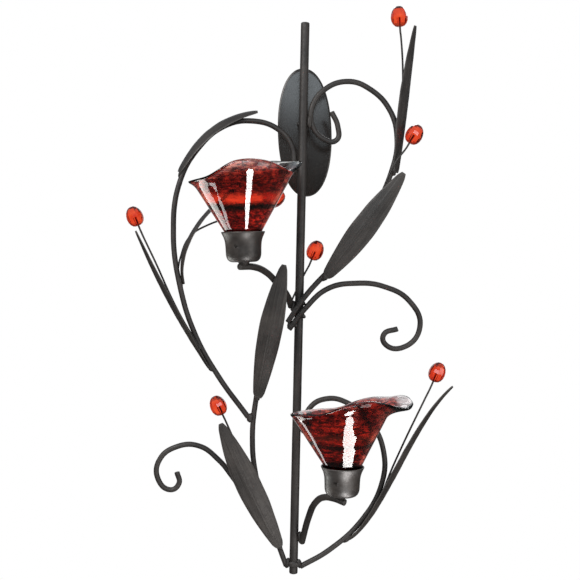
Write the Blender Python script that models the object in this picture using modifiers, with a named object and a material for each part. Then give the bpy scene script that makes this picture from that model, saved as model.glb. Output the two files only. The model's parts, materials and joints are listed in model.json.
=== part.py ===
"""Two-light wall sconce: welded rods and creased leaves grow up a stem, with two glass lily cups.

Frame: +Z is up, the wall is the plane y = 0 and the sconce stands out from it towards -Y. The
origin is the centre of the wall plate's flat back. Lengths are in millimetres up to point(),
which turns them into metres. Rods, leaves, wires and cups are placed from the stem's centre
line, so their x and y are distances from it and their z is the height above the origin.
"""

import math

import bmesh
import bpy
from mathutils import Matrix, Vector
from mathutils.geometry import interpolate_bezier

MM = 0.001
GAP = 0.3  # left between two pieces that touch

# Stem and wall plate
STEM_X = -2.0
STEM_Y = -30.0
STEM_TOP = 98.0
STEM_BOTTOM = -415.0
STEM_RADIUS = 4.0
PLATE_HALF_WIDTH = 25.5
PLATE_HALF_HEIGHT = 60.5
PLATE_EDGE = 1.5
PLATE_CROWN = 3.5
STANDOFF_RADIUS = 5.0
STANDOFF_Z = 5.0
KEYHOLE_Z = 41.0
KEYHOLE_HEAD_RADIUS = 4.2
KEYHOLE_SLOT_RADIUS = 2.2
KEYHOLE_SLOT_RISE = 9.0

# Rods, wires and leaves
SCROLL_RADIUS = 2.5
ARM_RADIUS = 3.0
WIRE_RADIUS = 0.75
LEAF_THICKNESS = 1.2
LEAF_END_WIDTH = 5.5
LEAF_CREASE = 0.12  # height of the ridge, in leaf widths
LEAF_ROWS = 9

# Berries: drilled drops glued on the wires' ends
BERRY_RADIUS = 7.8
BERRY_LENGTH = 19.0
BERRY_HOLE_RADIUS = 1.15
BERRY_HOLE_DEPTH = 9.0
BERRY_SIDES = 8

# Cups: z is measured from the socket's rim
CUP_FORWARD = 65.0
SOCKET_RIM_RADIUS = 19.1
SOCKET_BODY_RADIUS = 15.7
SOCKET_HEIGHT = 26.5
SOCKET_WALL = 1.2
SOCKET_HOLE_RADIUS = 1.5
SOCKET_HOLE_DEPTH = 12.5
SOCKET_HOLE_TURN = -22.0
GLASS_WALL = 2.6
GLASS_SEAT_RADIUS = 16.4
GLASS_FOOT_RADIUS = 13.4
GLASS_FOOT_DEPTH = 16.0
GLASS_RIM_RADIUS = 47.0
GLASS_HEIGHT = 50.0
GLASS_LOW_RIM = 43.5
GLASS_FLARE_START = 0.86  # share of the cone's height below which the rim isn't bent out
GLASS_LIP_DROP = 2.0  # thickening under a lip that is bent out by GLASS_LIP_REACH
GLASS_LIP_REACH = 15.0

# name: x from the stem, height of the socket's rim, lean to the left in degrees, and the pulls
# of the glass rim: azimuth, half width in degrees, lift and outward flare
CUPS = {
    "upper": (-50.6, -95.2, 2.5, ((280, 75, 17, 0), (28, 80, 20, 0), (5, 35, 0, 6))),
    "lower": (40.6, -298.7, 0.0, ((295, 85, 24, 0), (0, 60, 11, 0), (0, 45, 0, 15), (200, 60, 3, 0))),
}

# Each rod's route from its root to its end, as x, y, z
SCROLLS = {
    "left_leaf_stem": (
        (-6.8, 0, -408), (-13, 0, -392), (-27, 0, -356), (-38, 0, -318), (-41, 0, -285),
        (-38.5, 0, -252), (-34.5, 0, -230),
    ),
    "left_lower_scroll": (
        (-27.2, 0, -371), (-44, 0, -344), (-57, 0, -327), (-72, 0, -309), (-91, 0, -296),
        (-111, 0, -297), (-127, 0, -309), (-129, 0, -327), (-117, 0, -338), (-109, 0, -332),
        (-111, 0, -321),
    ),
    "left_upper_scroll": (
        (-45.3, 0, -268), (-74, 0, -230), (-96, 0, -192), (-111, 0, -147), (-118, 0, -96),
        (-113, 0, -51), (-97, 0, -20), (-72, 0, 2), (-47, 0, 7), (-23, 0, 0), (-10.5, 0, -14),
        (-7, 0, -36),
    ),
    "right_upper_scroll": (
        (-10.5, -6.9, -178), (5, -6.9, -154), (36, -6, -118), (65, -4, -76), (83, -2, -35),
        (87, -1, -8), (80, 0, 19), (60, 0, 39), (40, 0, 45), (19, 0, 37), (8, 0, 21),
        (8.5, 0, 5), (19, 0, -8), (31, 0, -9), (32, 0, 4), (26, 0, 17),
    ),
    "right_middle_scroll": (
        (-9, -6.9, -184.5), (5, -6.9, -168), (26, -6, -148), (52, -5, -141), (78, -4, -143),
        (102, -3, -156), (112.5, -2, -180), (98, -2, -199), (81, -2, -197), (79, -2, -188),
        (92, -2, -182),
    ),
    "right_lower_scroll": (
        (6.2, 0, -408.4), (33, 0, -392), (63, 0, -363), (81, 0, -328), (82, 0, -298),
        (69, 0, -270), (48, 0, -253), (28, 0, -249), (12, 0, -258), (6.9, 0, -280),
    ),
}
ARMS = {
    "upper_cup_arm": (
        (-7.3, 0, -164), (-10.5, -7, -154.5), (-21.6, -25, -140), (-30.5, -39, -131),
        (-40.5, -53, -126.2), (-53.5, -65.5, -125.7),
    ),
    "lower_cup_arm": (
        (7.3, -1, -385), (12.8, -20, -356), (18.4, -38, -338), (25.5, -51, -330),
        (34, -60, -328.8), (43.8, -66, -331),
    ),
}

# Each leaf's base, two bend points and tip, the way its ridge faces, and its width
LEAVES = {
    "lower_left_leaf": (
        (-13.5, -3.7, -389), (-33, -14.5, -350), (-52, -21, -310), (-69.5, -24, -270.5),
        (0, -1, 0), 23,
    ),
    "middle_left_leaf": (
        (-36.5, -3.5, -249), (-30, -20, -206), (-22.5, -31, -165), (-14.5, -36, -124),
        (0, -1, 0), 21,
    ),
    "outer_left_leaf": (
        (-83, 0, -222.6), (-105.5, 0, -187), (-133, 0, -138.5), (-153, 0, -96.5),
        (-0.85, -0.3, -0.45), 20,
    ),
    "upper_left_leaf": (
        (-113.6, 0, -41.5), (-99, 0, -8), (-76, 0, 11.5), (-42, 0, 16),
        (-0.6, -0.15, 0.8), 18,
    ),
    "inner_left_leaf": (
        (-107.6, 0, -145), (-115.5, 0, -118), (-95, 0, -76), (-56, 0, -54),
        (-0.8, -0.2, 0.6), 18,
    ),
    "middle_right_leaf": (
        (24, -10, -135), (45, -16, -107), (68, -20, -75), (92, -22, -39),
        (0, -1, 0), 22,
    ),
    "upper_right_leaf": (
        (86.6, -4.6, -38), (88.8, -3, -3), (92, -3, 42), (100.5, -6, 96),
        (0.85, -0.52, 0), 19,
    ),
    "outer_right_leaf": (
        (51.4, 0, -381.4), (81, 0, -361.5), (104, 0, -273.5), (145, 0, -235),
        (0.85, -0.3, -0.45), 20,
    ),
}

# Each berry's centre, the way it points, and its wire's route up to it
BERRIES = {
    "top_right": ((86, -1, 105), (-0.1, 0, 1), ((87, 2.8, -6), (91, 5, 25), (91, 4, 58), (88, 0, 88))),
    "right": ((102, -10, -3), (0.5, 0, 0.87), ((71, -7, -66), (79, -10.5, -42), (86, -11, -27.5))),
    "centre": ((14, 2, -111), (0.36, 0, 0.93), ((-8.5, 4.1, -162), (-3, 5.1, -149), (5, 5, -132))),
    "behind_cup": (
        (-24, -6, -64), (0.85, 0, 0.5),
        ((-113.7, 3.3, -133), (-112, 8, -121), (-104, 12.5, -101), (-86, 13, -89), (-50, 3, -78)),
    ),
    "outer_left": ((-154, -1, -83), (-0.4, 0, 0.92), ((-92.6, -3.1, -202), (-111.5, -3, -171), (-135, -1.5, -123))),
    "lower_left": ((-73, -10, -256), (-0.45, 0, 0.89), ((-41.9, 0, -316), (-54, -5, -296))),
    "outer_right": (
        (130, 0, -222), (0.37, 0, 0.93),
        ((80.3, 0, -342), (87, 0, -322), (97.5, 0, -296), (118, 0, -250)),
    ),
}


def point(x, y, z):
    """A place in metres, given from the origin in millimetres."""
    return Vector((x, y, z)) * MM


def on_stem(x, y, z):
    """A place in metres, given from the stem's centre line in millimetres."""
    return point(STEM_X + x, STEM_Y + y, z)


def make_material(name, colour, roughness, metallic, alpha=1.0):
    material = bpy.data.materials.new(name)
    material.use_nodes = True
    shader = material.node_tree.nodes["Principled BSDF"]
    shader.inputs["Base Color"].default_value = (*colour, 1.0)
    shader.inputs["Roughness"].default_value = roughness
    shader.inputs["Metallic"].default_value = metallic
    shader.inputs["Alpha"].default_value = alpha
    return material


def add_object(name, data, collection, material):
    obj = bpy.data.objects.new(name, data)
    collection.objects.link(obj)
    if material:
        data.materials.append(material)
    return obj


def mesh_from(bm, name):
    """A mesh datablock with smooth faces and sharp edges kept sharp."""
    mesh = bpy.data.meshes.new(name)
    bmesh.ops.recalc_face_normals(bm, faces=bm.faces)
    bm.to_mesh(mesh)
    bm.free()
    mesh.shade_smooth()
    mesh.set_sharp_from_angle(angle=math.radians(35))
    return mesh


def bar_mesh(name, radius, length, sides):
    """A round bar along Z, centred on the origin, with broken edges at its ends."""
    bm = bmesh.new()
    bmesh.ops.create_cone(
        bm, cap_ends=True, segments=sides, radius1=radius * MM, radius2=radius * MM, depth=length * MM
    )
    return mesh_from(bm, name)


def make_rod(name, route, radius, steps, collection, material):
    """A bent rod: a smooth curve through its route, in metres, with flat sawn ends."""
    curve = bpy.data.curves.new(name, "CURVE")
    curve.dimensions = "3D"
    curve.bevel_depth = radius * MM
    curve.bevel_resolution = 2 if radius > WIRE_RADIUS else 1
    curve.use_fill_caps = True
    curve.resolution_u = steps
    spline = curve.splines.new("BEZIER")
    spline.bezier_points.add(len(route) - 1)
    for knot, place in zip(spline.bezier_points, route):
        knot.co = place
    for knot in spline.bezier_points:
        knot.handle_left_type = "AUTO"
        knot.handle_right_type = "AUTO"
    return add_object(name, curve, collection, material)


def turned_mesh(name, profile, sides):
    """A solid turned about Z from a profile of (radius, z) that starts and ends on the axis."""
    mesh = bpy.data.meshes.new(name)
    places = [point(radius, 0, z) for radius, z in profile]
    mesh.from_pydata(places, [(i, i + 1) for i in range(len(places) - 1)], [])
    obj = bpy.data.objects.new(name, mesh)
    bpy.context.scene.collection.objects.link(obj)
    screw = obj.modifiers.new("Turn", "SCREW")
    screw.steps = sides
    screw.render_steps = sides
    screw.use_merge_vertices = True
    screw.merge_threshold = 0.00001
    turned = bpy.data.meshes.new_from_object(obj.evaluated_get(bpy.context.evaluated_depsgraph_get()))
    bpy.data.objects.remove(obj)
    bpy.data.meshes.remove(mesh)
    turned.name = name
    return turned


def cut(obj, cutter_mesh, name, place, turn, cutters):
    """Cuts a hole with a hidden cutter."""
    cutter = add_object(name, cutter_mesh, cutters, None)
    cutter.matrix_world = Matrix.LocRotScale(place, turn, None)
    cutter.hide_render = True
    cutter.display_type = "WIRE"
    boolean = obj.modifiers.new(name, "BOOLEAN")
    boolean.operation = "DIFFERENCE"
    boolean.object = cutter


def keyhole_mesh():
    """The screw's head hole with the narrow slot above it, as a prism through the plate."""
    bm = bmesh.new()
    half_mouth = math.asin(KEYHOLE_SLOT_RADIUS / KEYHOLE_HEAD_RADIUS)
    outline = []
    for i in range(25):
        angle = math.radians(90) + half_mouth + i / 24 * (math.tau - 2 * half_mouth)
        outline.append((KEYHOLE_HEAD_RADIUS * math.cos(angle), KEYHOLE_HEAD_RADIUS * math.sin(angle)))
    for i in range(7):
        angle = i / 6 * math.pi
        outline.append(
            (
                KEYHOLE_SLOT_RADIUS * math.cos(angle),
                KEYHOLE_SLOT_RISE + KEYHOLE_SLOT_RADIUS * math.sin(angle),
            )
        )
    face = bm.faces.new([bm.verts.new(point(x, 1, z)) for x, z in outline])
    pushed = bmesh.ops.extrude_face_region(bm, geom=[face])["geom"]
    moved = [item for item in pushed if isinstance(item, bmesh.types.BMVert)]
    bmesh.ops.translate(bm, verts=moved, vec=point(0, -2 - PLATE_CROWN, 0))
    return mesh_from(bm, "keyhole_cutter")


def make_stem(collection, iron):
    mesh = bar_mesh("center_stem", STEM_RADIUS, STEM_TOP - STEM_BOTTOM, 16)
    stem = add_object("center_stem", mesh, collection, iron)
    stem.location = on_stem(0, 0, (STEM_TOP + STEM_BOTTOM) / 2)
    edge = stem.modifiers.new("Broken edges", "BEVEL")
    edge.width = 0.6 * MM
    edge.segments = 1
    edge.angle_limit = math.radians(60)


def make_wall_plate(collection, cutters, iron):
    """An oval plate, flat at the back and gently crowned in front, hung by its keyhole."""
    rings = 5
    crown = []
    for i in range(rings + 1):
        share = i / rings
        rise = PLATE_EDGE + (PLATE_CROWN - PLATE_EDGE) * (1 - share**2)
        crown.append((PLATE_HALF_HEIGHT * share, rise))
    mesh = turned_mesh("wall_plate", [*crown, (PLATE_HALF_HEIGHT, 0), (0, 0)], 40)
    oval = Matrix.Diagonal((PLATE_HALF_WIDTH / PLATE_HALF_HEIGHT, 1, 1, 1))
    facing_out = Matrix.Rotation(math.radians(90), 4, "X")
    mesh.transform(oval @ facing_out)
    plate = add_object("wall_plate", mesh, collection, iron)
    place = point(STEM_X, 0, KEYHOLE_Z)
    cut(plate, keyhole_mesh(), "keyhole_cutter", place, None, cutters)


def make_standoff(collection, iron):
    """The round spacer that holds the stem off the plate."""
    back = -PLATE_CROWN - GAP
    front = STEM_Y + STEM_RADIUS + GAP
    mesh = bar_mesh("plate_standoff", STANDOFF_RADIUS, back - front, 16)
    standoff = add_object("plate_standoff", mesh, collection, iron)
    standoff.location = point(STEM_X, (back + front) / 2, STANDOFF_Z)
    standoff.rotation_euler.x = math.radians(90)


def make_leaf(name, places, facing, width, collection, iron):
    """A sheet-metal leaf with blunt ends, creased along the middle, on a curve from base to tip."""
    facing = Vector(facing).normalized()
    line = interpolate_bezier(*[on_stem(*place) for place in places], LEAF_ROWS + 1)
    bm = bmesh.new()
    rows = []
    for i, centre in enumerate(line):
        along = line[min(i + 1, LEAF_ROWS)] - line[max(i - 1, 0)]
        across = along.cross(facing).normalized()
        outward = across.cross(along).normalized()
        swell = math.sin(math.pi * i / LEAF_ROWS) ** 0.9
        half = (LEAF_END_WIDTH + (width - LEAF_END_WIDTH) * swell) / 2 * MM
        ridge = LEAF_CREASE * width * swell * MM
        spots = (centre - across * half, centre + outward * ridge, centre + across * half)
        rows.append([bm.verts.new(spot) for spot in spots])
    for low, high in zip(rows, rows[1:]):
        for side in (0, 1):
            bm.faces.new((low[side], low[side + 1], high[side + 1], high[side]))
    leaf = add_object(name, mesh_from(bm, name), collection, iron)
    sheet = leaf.modifiers.new("Sheet", "SOLIDIFY")
    sheet.thickness = LEAF_THICKNESS * MM
    sheet.offset = 0.0
    sheet.use_even_offset = True


def berry_mesh():
    """A faceted drop along Z, centred on the origin, drilled from its round end for the wire."""
    low = -BERRY_LENGTH / 2
    hole = BERRY_HOLE_RADIUS
    shares = ((0, 1), (0.42, 0.92), (0.84, 0.68), (1, 0.4), (0.84, 0.14), (0.45, 0.01), (0.25, 0))
    profile = [(BERRY_RADIUS * radius, low + BERRY_LENGTH * height) for radius, height in shares]
    profile += [(hole, low), (hole, low + BERRY_HOLE_DEPTH), (0, low + BERRY_HOLE_DEPTH)]
    return turned_mesh("berry", profile, BERRY_SIDES)


def make_berry(name, mesh, centre, aim, route, collection, iron):
    """One drop and the wire that holds it, which ends inside the drop's hole."""
    aim = Vector(aim).normalized()
    middle = on_stem(*centre)
    berry = add_object(name + "_berry", mesh, collection, None)
    berry.location = middle
    berry.rotation_mode = "QUATERNION"
    berry.rotation_quaternion = aim.to_track_quat("Z", "Y")
    low = middle - aim * BERRY_LENGTH / 2 * MM
    wire = [on_stem(*place) for place in route]
    wire += [low - aim * 5 * MM, low, low + aim * (BERRY_HOLE_DEPTH - GAP) * MM]
    make_rod(name + "_wire", wire, WIRE_RADIUS, 4, collection, iron)


def socket_mesh():
    """A bell-shaped cup with a flared rim and a rounded bottom, turned about Z from its rim."""
    rim, body, wall = SOCKET_RIM_RADIUS, SOCKET_BODY_RADIUS, SOCKET_WALL
    floor = -SOCKET_HEIGHT
    outside = [(rim, 0), (rim - 1.6, -2.6), (body + 0.5, -7), (body, -11), (body - 0.2, floor + 7)]
    corner = 6
    for i in range(1, 4):
        angle = i / 3 * math.pi / 2
        x = body - 0.2 - corner * (1 - math.cos(angle))
        outside.append((x, floor + corner * (1 - math.sin(angle))))
    inside = [(radius - wall, z) for radius, z in outside[:-2]]
    inside[0] = (rim - 1.0, 0)
    inside += [(body - corner, floor + wall)]
    return turned_mesh("socket", [(0, floor + wall), *inside[::-1], *outside, (0, floor)], 24)


def rim_pull(azimuth, pulls):
    """The lift and the outward flare of the rim at an azimuth, summed over its soft pulls."""
    lift = 0.0
    flare = 0.0
    for centre, half_width, rise, reach in pulls:
        away = abs((azimuth - centre + 180) % 360 - 180)
        if away < half_width:
            share = math.cos(math.pi / 2 * away / half_width) ** 2
            lift += rise * share
            flare += reach * share
    return lift, flare


def glass_mesh(name, pulls):
    """A cone-shaped cup on a short foot, turned about Z and then pulled at its rim."""
    seat, foot, wall = GLASS_SEAT_RADIUS, GLASS_FOOT_RADIUS, GLASS_WALL
    depth = GLASS_FOOT_DEPTH
    slope = (GLASS_RIM_RADIUS - seat) / GLASS_HEIGHT
    wall_heights = [GLASS_HEIGHT * share for share in (1, 0.95, 0.9, GLASS_FLARE_START, 0.6, 0.3, 0)]
    outside = [(seat + slope * z, z) for z in wall_heights]
    outside += [(seat - 1.7, -5), (foot, -7), (foot, 1 - depth), (foot - 1, -depth)]
    inside = [(seat + slope * z - wall, z) for z in wall_heights[1:]]
    inside += [(foot - wall, -7), (foot - wall, wall - depth)]
    lip = (GLASS_RIM_RADIUS - wall, GLASS_HEIGHT)
    profile = [(0, wall - depth), *inside[::-1], lip, *outside, (0, -depth)]
    mesh = turned_mesh(name, profile, 32)
    for vertex in mesh.vertices:
        share = vertex.co.z / (GLASS_HEIGHT * MM)
        if share <= 0:
            continue
        outside = vertex.co.xy.length > (seat + slope * share * GLASS_HEIGHT - wall / 2) * MM
        lift, flare = rim_pull(math.degrees(math.atan2(vertex.co.y, vertex.co.x)) % 360, pulls)
        vertex.co.z *= (GLASS_LOW_RIM + lift) / GLASS_HEIGHT
        bent = max(share - GLASS_FLARE_START, 0) / (1 - GLASS_FLARE_START)
        outward = Vector((vertex.co.x, vertex.co.y, 0)).normalized()
        if outside:
            vertex.co.z -= GLASS_LIP_DROP * bent * flare / GLASS_LIP_REACH * MM
        vertex.co += outward * flare * bent**1.4 * MM
    return mesh


def make_cup(name, x, rim_z, lean, pulls, collection, cutters, iron, glass):
    """One socket with its lift-out glass, leaning together on an empty at the socket's rim."""
    seat = bpy.data.objects.new(name + "_cup_seat", None)
    collection.objects.link(seat)
    seat.location = on_stem(x, -CUP_FORWARD, rim_z)
    seat.rotation_euler.y = -math.radians(lean)
    bpy.context.view_layer.update()
    socket = add_object(name + "_socket", socket_mesh(), collection, iron)
    socket.parent = seat
    socket.data.shade_smooth()
    socket.data.set_sharp_from_angle(angle=math.radians(40))
    drill = bar_mesh(name + "_drill", SOCKET_HOLE_RADIUS, 8, 12)
    turn = Matrix.Rotation(math.radians(SOCKET_HOLE_TURN), 4, "Z")
    sideways = Matrix.Translation(point(0, -SOCKET_BODY_RADIUS, -SOCKET_HOLE_DEPTH))
    drill_matrix = seat.matrix_world @ turn @ sideways @ Matrix.Rotation(math.radians(90), 4, "X")
    cut(socket, drill, name + "_drill", drill_matrix.translation, drill_matrix.to_quaternion(), cutters)
    cup = add_object(name + "_glass", glass_mesh(name + "_glass", pulls), collection, glass)
    cup.parent = seat
    cup.data.shade_smooth()
    cup.data.set_sharp_from_angle(angle=math.radians(40))


def main():
    for obj in list(bpy.data.objects):
        bpy.data.objects.remove(obj)
    sconce = bpy.data.collections.new("wall_sconce")
    cutters = bpy.data.collections.new("cutters")
    bpy.context.scene.collection.children.link(sconce)
    bpy.context.scene.collection.children.link(cutters)
    iron = make_material("dark_iron_paint", (0.045, 0.038, 0.034), 0.5, 0.2)
    glass = make_material("ruby_glass", (0.45, 0.01, 0.01), 0.05, 0.0, 0.6)
    berry = make_material("amber_drop", (0.9, 0.12, 0.03), 0.08, 0.0, 0.75)

    make_stem(sconce, iron)
    make_wall_plate(sconce, cutters, iron)
    make_standoff(sconce, iron)
    for name, route in SCROLLS.items():
        make_rod(name, [on_stem(*place) for place in route], SCROLL_RADIUS, 4, sconce, iron)
    for name, route in ARMS.items():
        make_rod(name, [on_stem(*place) for place in route], ARM_RADIUS, 5, sconce, iron)
    for name, (*places, facing, width) in LEAVES.items():
        make_leaf(name, places, facing, width, sconce, iron)
    drop = berry_mesh()
    drop.materials.append(berry)
    for name, (centre, aim, route) in BERRIES.items():
        make_berry(name, drop, centre, aim, route, sconce, iron)
    for name, (x, rim_z, lean, pulls) in CUPS.items():
        make_cup(name, x, rim_z, lean, pulls, sconce, cutters, iron, glass)


main()
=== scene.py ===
"""Builds the finished look of the votive candle rack round its CAD frame.

The rack is a welded wall sconce: a stem with an oval wall plate, bent rods that end in scrolls,
creased leaves, amber drops on wires, and two ruby glass lily cups in bell sockets.

Lengths in the tables are millimetres from the stem's centre line, with z measured from the
centre of the wall plate. place() turns them into metres in the frame's own space.
"""

import json
import math

import bmesh
import bpy
from mathutils import Matrix, Vector, noise

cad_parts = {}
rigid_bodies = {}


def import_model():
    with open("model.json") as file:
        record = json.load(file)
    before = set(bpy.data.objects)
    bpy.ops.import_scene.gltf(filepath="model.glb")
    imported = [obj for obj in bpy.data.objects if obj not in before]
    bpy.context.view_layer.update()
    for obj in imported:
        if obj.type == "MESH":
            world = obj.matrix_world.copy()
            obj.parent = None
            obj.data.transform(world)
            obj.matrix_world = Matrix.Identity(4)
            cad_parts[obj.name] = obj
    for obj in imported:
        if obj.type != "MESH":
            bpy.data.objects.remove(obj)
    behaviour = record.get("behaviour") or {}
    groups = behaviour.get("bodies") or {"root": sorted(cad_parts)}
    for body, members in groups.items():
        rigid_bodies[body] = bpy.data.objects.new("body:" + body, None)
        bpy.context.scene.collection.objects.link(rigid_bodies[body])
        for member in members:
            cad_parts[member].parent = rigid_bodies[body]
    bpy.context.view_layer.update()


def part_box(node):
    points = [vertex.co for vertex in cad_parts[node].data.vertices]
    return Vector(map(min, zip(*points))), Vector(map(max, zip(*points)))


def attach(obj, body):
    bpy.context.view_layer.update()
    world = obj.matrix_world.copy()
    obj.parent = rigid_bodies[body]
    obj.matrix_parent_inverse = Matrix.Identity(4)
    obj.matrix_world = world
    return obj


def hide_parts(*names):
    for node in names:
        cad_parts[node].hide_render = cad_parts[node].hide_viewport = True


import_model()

bl_info = {
    "name": "Votive Candle Rack",
    "version": (1, 0, 0),
    "blender": (4, 5, 0),
    "location": "3D View > Sidebar > Candle Rack",
    "description": "Builds a welded wall rack with leaves, drops and two glass candle cups",
    "category": "Add Mesh",
}

MM = 0.001
FRAME_BODY = "welded_frame"
STEM_LOW, STEM_HIGH = (Vector(corner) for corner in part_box("center_stem"))
STEM_AXIS = (STEM_LOW + STEM_HIGH) / 2

# Each rod's route from its root to its end, as x, y, z from the stem's centre line
SCROLLS = {
    "left_leaf_stem": (
        (-6.8, 0, -408), (-13, 0, -392), (-27, 0, -356), (-38, 0, -318), (-41, 0, -285),
        (-38.5, 0, -252), (-34.5, 0, -230),
    ),
    "left_lower_scroll": (
        (-27.2, 0, -371), (-44, 0, -344), (-57, 0, -327), (-72, 0, -309), (-91, 0, -296),
        (-111, 0, -297), (-127, 0, -309), (-129, 0, -327), (-117, 0, -338), (-109, 0, -332),
        (-111, 0, -321),
    ),
    "left_upper_scroll": (
        (-45.3, 0, -268), (-74, 0, -230), (-96, 0, -192), (-111, 0, -147), (-118, 0, -96),
        (-113, 0, -51), (-97, 0, -20), (-72, 0, 2), (-47, 0, 7), (-23, 0, 0), (-10.5, 0, -14),
        (-7, 0, -36),
    ),
    "right_upper_scroll": (
        (-10.5, -6.9, -178), (5, -6.9, -154), (36, -6, -118), (65, -4, -76), (83, -2, -35),
        (87, -1, -8), (80, 0, 19), (60, 0, 39), (40, 0, 45), (19, 0, 37), (8, 0, 21),
        (8.5, 0, 5), (19, 0, -8), (31, 0, -9), (32, 0, 4), (26, 0, 17),
    ),
    "right_middle_scroll": (
        (-9, -6.9, -184.5), (5, -6.9, -165.5), (26, -6, -146), (52, -5, -140.5), (78, -4, -143),
        (102, -3, -156), (112.5, -2, -180), (98, -2, -199), (81, -2, -197), (79, -2, -188),
        (92, -2, -182),
    ),
    "right_lower_scroll": (
        (6.2, 0, -408.4), (33, 0, -392), (63, 0, -363), (81, 0, -328), (82, 0, -298),
        (69, 0, -270), (48, 0, -253), (28, 0, -249), (12, 0, -258), (6.9, 0, -280),
    ),
}
ARMS = {
    "upper_cup_arm": (
        (-7.3, 0, -164), (-10.5, -7, -154.5), (-21.6, -25, -140), (-30.5, -39, -131),
        (-40.5, -53, -126.2), (-53.5, -65.5, -125.7),
    ),
    "lower_cup_arm": (
        (7.3, -1, -385), (12.8, -20, -356), (18.4, -38, -338), (25.5, -51, -330),
        (34, -60, -328.8), (43.8, -66, -331),
    ),
}

# Each leaf's base, two bend points and tip, the way its ridge faces, and its width
LEAVES = {
    "lower_left_leaf": (
        (-13.5, -3.7, -389), (-33, -14.5, -350), (-52, -21, -310), (-69.5, -24, -270.5),
        (0, -1, 0), 23,
    ),
    "middle_left_leaf": (
        (-36.5, -3.5, -249), (-30, -20, -206), (-22.5, -31, -165), (-14.5, -36, -124),
        (0, -1, 0), 21,
    ),
    "outer_left_leaf": (
        (-83, 0, -222.6), (-105.5, 0, -187), (-133, 0, -138.5), (-153, 0, -96.5),
        (-0.85, -0.3, -0.45), 20,
    ),
    "upper_left_leaf": (
        (-113.6, 0, -41.5), (-97.1, 0, -10.1), (-74.1, 0, 9.4), (-42, 0, 15.5),
        (-0.6, -0.45, 0.7), 19,
    ),
    "inner_left_leaf": (
        (-107.6, 0, -145), (-115.5, 0, -118), (-95, 0, -76), (-56, 0, -54),
        (-0.8, -0.2, 0.6), 18,
    ),
    "middle_right_leaf": (
        (24, -10, -135), (45, -16, -107), (68, -20, -75), (92, -22, -39),
        (0, -1, 0), 22,
    ),
    "upper_right_leaf": (
        (86.6, -4.6, -38), (88.8, -3, -3), (92, -3, 42), (100.5, -6, 96),
        (0.85, -0.52, 0), 19,
    ),
    "outer_right_leaf": (
        (51.4, 0, -381.4), (81, 0, -361.5), (104, 0, -273.5), (145, 0, -235),
        (0.85, -0.42, -0.45), 20,
    ),
}

# Each drop's centre, the way it points, and its wire's route up to it
BERRIES = {
    "top_right": ((86, -1, 105), (-0.1, 0, 1), ((87, 2.8, -6), (91, 5, 25), (91, 4, 58), (88, 0, 88))),
    "right": ((102, -10, -3), (0.5, 0, 0.87), ((71, -7, -66), (79, -10.5, -42), (86, -11, -27.5))),
    "centre": ((14, 2, -111), (0.36, 0, 0.93), ((-8.5, 4.1, -162), (-3, 5.1, -149), (5, 5, -132))),
    "behind_cup": (
        (-24, -6, -64), (0.85, 0, 0.5),
        ((-113.7, 3.3, -133), (-112, 8, -121), (-104, 12.5, -101), (-86, 13, -89), (-50, 3, -78)),
    ),
    "outer_left": (
        (-154, -1, -83), (-0.4, 0, 0.92),
        ((-92.6, -3.1, -202), (-111.5, -3, -171), (-135, -1.5, -123)),
    ),
    "lower_left": ((-73, -10, -256), (-0.45, 0, 0.89), ((-41.9, 0, -316), (-54, -5, -296))),
    "outer_right": (
        (130, 0, -222), (0.37, 0, 0.93),
        ((80.3, 0, -342), (87, 0, -322), (97.5, 0, -296), (118, 0, -250)),
    ),
}

# name: x from the stem, height of the socket's rim, lean to the left in degrees, the cone's
# slope, how much less it slopes on the right, and the rim as azimuth, radius and height
CUPS = {
    "upper": (
        -50.6, -95.2, 2.5, 0.593, 0.02,
        (
            (5, 51.5, 57.5), (12, 53.5, 60.5), (28, 52.5, 61.5), (42, 51, 62.3), (60, 49.5, 63.5),
            (85, 48, 61), (110, 47, 55), (135, 46, 49), (158, 46, 45.5), (180, 46.5, 44.8),
            (203, 44.5, 45.3), (223, 45, 46.2), (235, 46, 47.8), (246, 47, 51.2), (256, 47, 55.5),
            (265, 47, 58.8), (280, 47, 60.3), (295, 47, 59.3), (313, 45.5, 56.5), (327, 44.5, 53.8),
            (342, 44.5, 52.2), (354, 46.5, 53.2),
        ),
    ),
    "lower": (
        40.6, -298.7, 0.0, 0.575, 0.095,
        (
            (3, 61, 56.5), (12, 60, 59.8), (22, 57, 60.5), (37, 54.5, 57.5), (57, 52.5, 55.5),
            (74, 50, 51.3), (92, 48.5, 45), (114, 48, 43.8), (135, 47.5, 43.8), (158, 47, 44.5),
            (180, 47, 45.6), (200, 45.5, 47.6), (215, 45.2, 49), (230, 45.6, 50.4), (244, 46.7, 52.4),
            (256, 47, 55.8), (270, 47, 60.5), (285, 46.7, 63.3), (300, 45.7, 63.6), (320, 45.5, 60.2),
            (338, 50, 56.4), (350, 56, 54.2),
        ),
    ),
}

CUP_REACH = 65  # how far in front of the stem the cups' axes stand

# The cups' glass: the radius at its seat, the share of its height up to which the wall is a plain
# cone, the radius from which a lip is drawn out and thickens and the reach at which it is thickest,
# the width over which it turns clear, and the height at which its rings' scale reads 1
SEAT_RADIUS = 15.0
CONE_SHARE = 0.84
LIP_FROM, LIP_REACH = 49, 11
CLEAR_FADE = 4
LEVEL_HEIGHT = 60

# Each cup's mottling offset, the colour of its clear lip, how strongly its bright ring glows, and
# the radius from which its lip turns clear
GLASSES = {
    "upper": ((0.0, 0.0, 0.0), (0.6, 0.64, 0.62), 0.85, 45.5),
    "lower": ((0.13, 0.07, 0.0), (0.36, 0.25, 0.26), 0.3, 47.0),
}

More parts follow.
